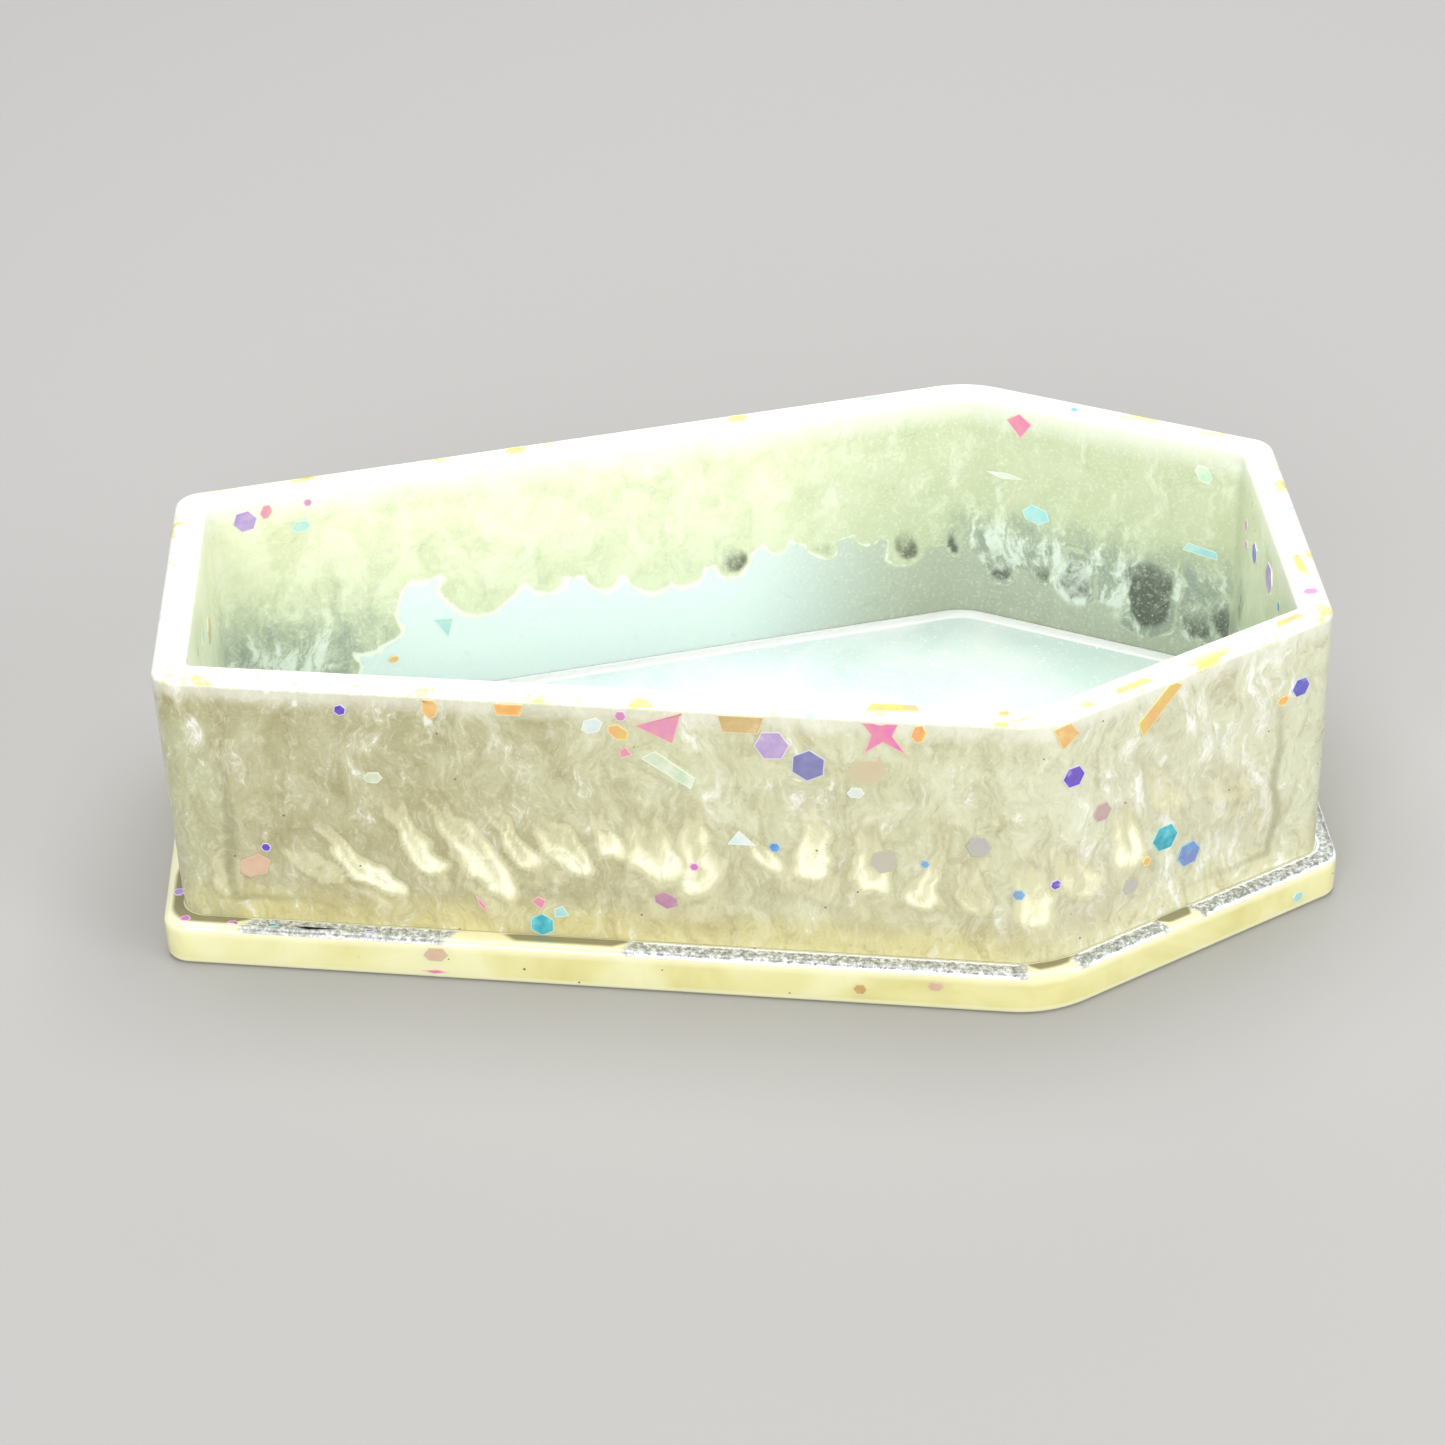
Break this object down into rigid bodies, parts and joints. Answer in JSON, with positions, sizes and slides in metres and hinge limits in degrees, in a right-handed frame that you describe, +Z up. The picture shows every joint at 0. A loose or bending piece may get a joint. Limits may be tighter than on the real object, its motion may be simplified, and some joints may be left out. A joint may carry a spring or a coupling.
{
  "type": "coffin-shaped resin box",
  "caption": "Open coffin-shaped trinket box cast in pearl and clear amber resin, with flat rim, hollow cavity, stepped plinth and flakes of iridescent film set in its walls.",
  "frame": {"origin": "middle of the box's bounding rectangle on the face it stands on", "axes": "+X towards the head end, +Z up, out of the cavity; +Y is across, and the plane y = 0 splits the shape into mirror halves"},
  "size_m": [0.1234, 0.0768, 0.0333],
  "materials": {
    "rim_pour": "translucent pearl resin, glossy",
    "swirl_pour": "translucent resin with a swirl of pearl mica, glossy",
    "floor_pour": "pale pearl resin, glossy",
    "plinth_pour": "clear amber resin, glossy",
    "lilac_hexes": "iridescent lilac film",
    "indigo_hexes": "iridescent indigo film",
    "violet_hexes": "iridescent violet film",
    "teal_hexes": "iridescent teal film",
    "blue_hexes": "iridescent blue film",
    "silver_hexes": "grey pearl film",
    "mauve_hexes": "mauve film",
    "magenta_hexes": "magenta film",
    "coral_chips": "coral film, sunk in the resin",
    "pink_shards": "pink iridescent film",
    "orange_shards": "orange iridescent film",
    "amber_shards": "amber film",
    "yellow_shards": "yellow iridescent film",
    "mint_shards": "mint iridescent film",
    "opal_shards": "opal white film",
    "cyan_shards": "cyan iridescent film"
  },
  "bodies": {
    "root": {"rim_pour": "rim_pour", "swirl_pour": "swirl_pour", "floor_pour": "floor_pour", "plinth_pour": "plinth_pour", "lilac_hexes": "lilac_hexes", "indigo_hexes": "indigo_hexes", "violet_hexes": "violet_hexes", "teal_hexes": "teal_hexes", "blue_hexes": "blue_hexes", "silver_hexes": "silver_hexes", "mauve_hexes": "mauve_hexes", "magenta_hexes": "magenta_hexes", "coral_chips": "coral_chips", "pink_shards": "pink_shards", "orange_shards": "orange_shards", "amber_shards": "amber_shards", "yellow_shards": "yellow_shards", "mint_shards": "mint_shards", "opal_shards": "opal_shards", "cyan_shards": "cyan_shards"}
  },
  "joints": []
}
